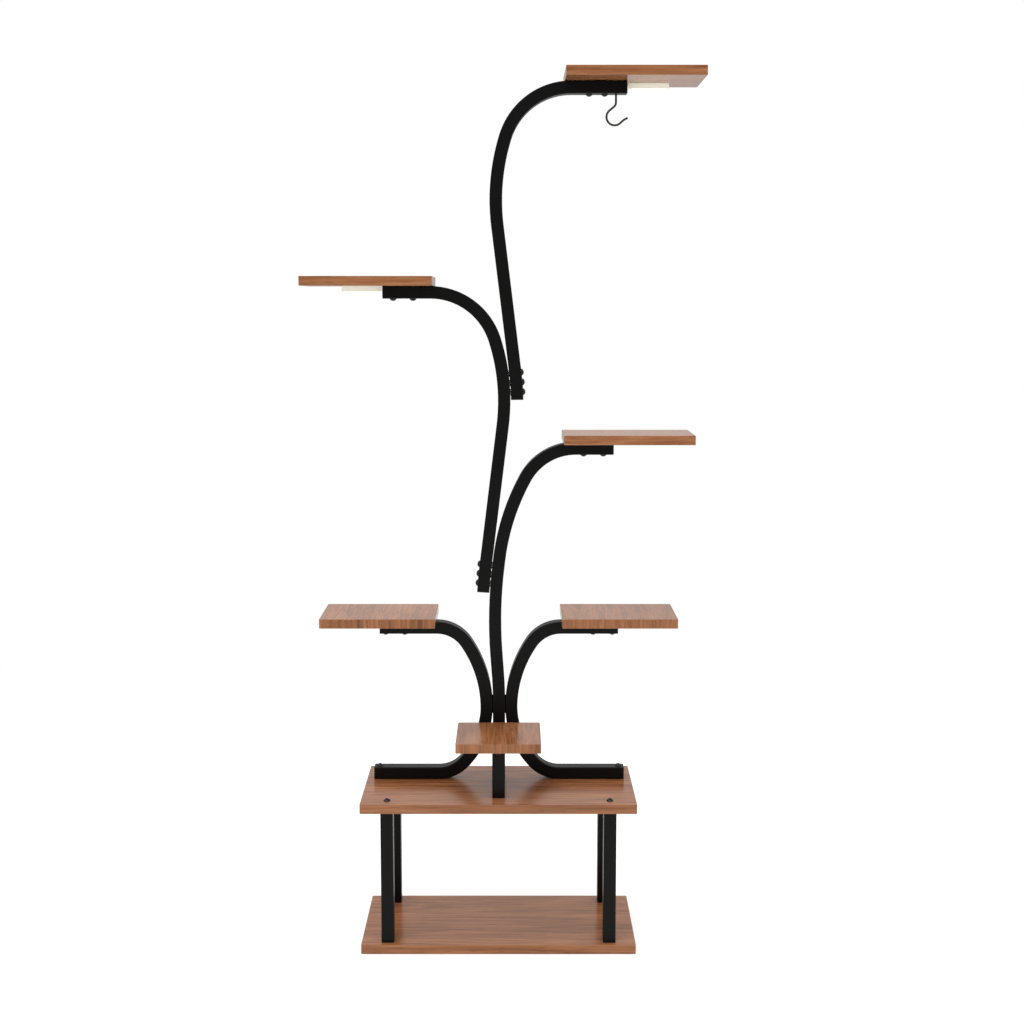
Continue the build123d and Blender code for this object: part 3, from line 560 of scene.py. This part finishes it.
cap_plastic = small_part_material(
    "black_cap_plastic",
    (0.004, 0.004, 0.004, 1),
    (0.010, 0.010, 0.010, 1),
    1500.0,
    (0.42, 0.6),
    0.15,
    Specular_IOR_Level=0.3,
)
give(cap_plastic, "arm_end_caps", "leg_end_plugs", "upright_foot_plugs", "left_light_inlet", "top_light_inlet")

dipped_wire = small_part_material(
    "dipped_wire",
    (0.010, 0.008, 0.007, 1),
    (0.022, 0.018, 0.015, 1),
    700.0,
    (0.2, 0.36),
    0.1,
    Specular_IOR_Level=0.5,
)
give(dipped_wire, "hook")
print("small part materials", [m.name for m in (zinc, cap_plastic, dipped_wire)])

# %% [markdown]
# ## The grow lights
#
# Each light is a flat slab of off-white plastic with a frosted cover below it, and it is switched on.
# Behind the cover lies a white circuit board with small yellow LED chips.
# The cover could be a plain white panel. Frosted plastic passes part of the light instead,
# and its own glow stands in for the chips' light, so from below it looks evenly white.
# The housing's faint glow is a painted glow: it brightens the off-white plastic in the shade under the shelf.

# %% Finish the lights
# The housing's emission is a painted glow that lifts it out of the shelf's shade.
housing_plastic_painted_glow = small_part_material(
    "housing_plastic_painted_glow",
    (0.76, 0.76, 0.66, 1),
    (0.84, 0.84, 0.75, 1),
    1200.0,
    (0.34, 0.5),
    0.08,
    Specular_IOR_Level=0.4,
    Emission_Color=(0.86, 0.86, 0.74, 1),
    Emission_Strength=0.36,
)
frosted_cover = small_part_material(
    "frosted_cover",
    (0.82, 0.83, 0.75, 1),
    (0.9, 0.9, 0.84, 1),
    1800.0,
    (0.3, 0.42),
    0.12,
    Transmission_Weight=0.55,
    Emission_Color=(1.0, 1.0, 0.93, 1),
    Emission_Strength=0.7,
)
led_chip = small_part_material(
    "led_chip", (0.75, 0.48, 0.06, 1), (0.9, 0.66, 0.14, 1), 3000.0, (0.15, 0.25), 0.05, Coat_Weight=0.6
)

circuit, tree, shader, place = new_material("circuit_board", Roughness=0.38)
cell_size = {"Vector": place["Object"], "Scale": 210.0}
cells = add_node(tree, "ShaderNodeTexVoronoi", cell_size, feature="DISTANCE_TO_EDGE")
tracks = map_range(tree, cells.outputs["Distance"], 0.05, 0.02)
track_tint = math_node(tree, "MULTIPLY", tracks, 0.35)
mask_colour = mix_colours(tree, track_tint, (0.78, 0.78, 0.75, 1), (0.55, 0.58, 0.5, 1))
tree.links.new(mask_colour, shader["Base Color"])
bump = add_node(tree, "ShaderNodeBump", {"Strength": 0.1, "Distance": 0.0001, "Height": tracks})
tree.links.new(bump.outputs[0], shader["Normal"])

for light in ("left_light", "top_light"):
    give(housing_plastic_painted_glow, light + "_housing")
    give(frosted_cover, light + "_lens")
    give(led_chip, light + "_leds")
    give(circuit, light + "_led_board")
print("lights finished")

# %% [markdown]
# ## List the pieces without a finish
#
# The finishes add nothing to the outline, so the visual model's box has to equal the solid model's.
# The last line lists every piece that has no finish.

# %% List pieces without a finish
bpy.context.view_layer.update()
bare = [n for n, o in nodes.items() if not o.material_slots or not o.material_slots[0].material]
print("pieces without a finish", bare)
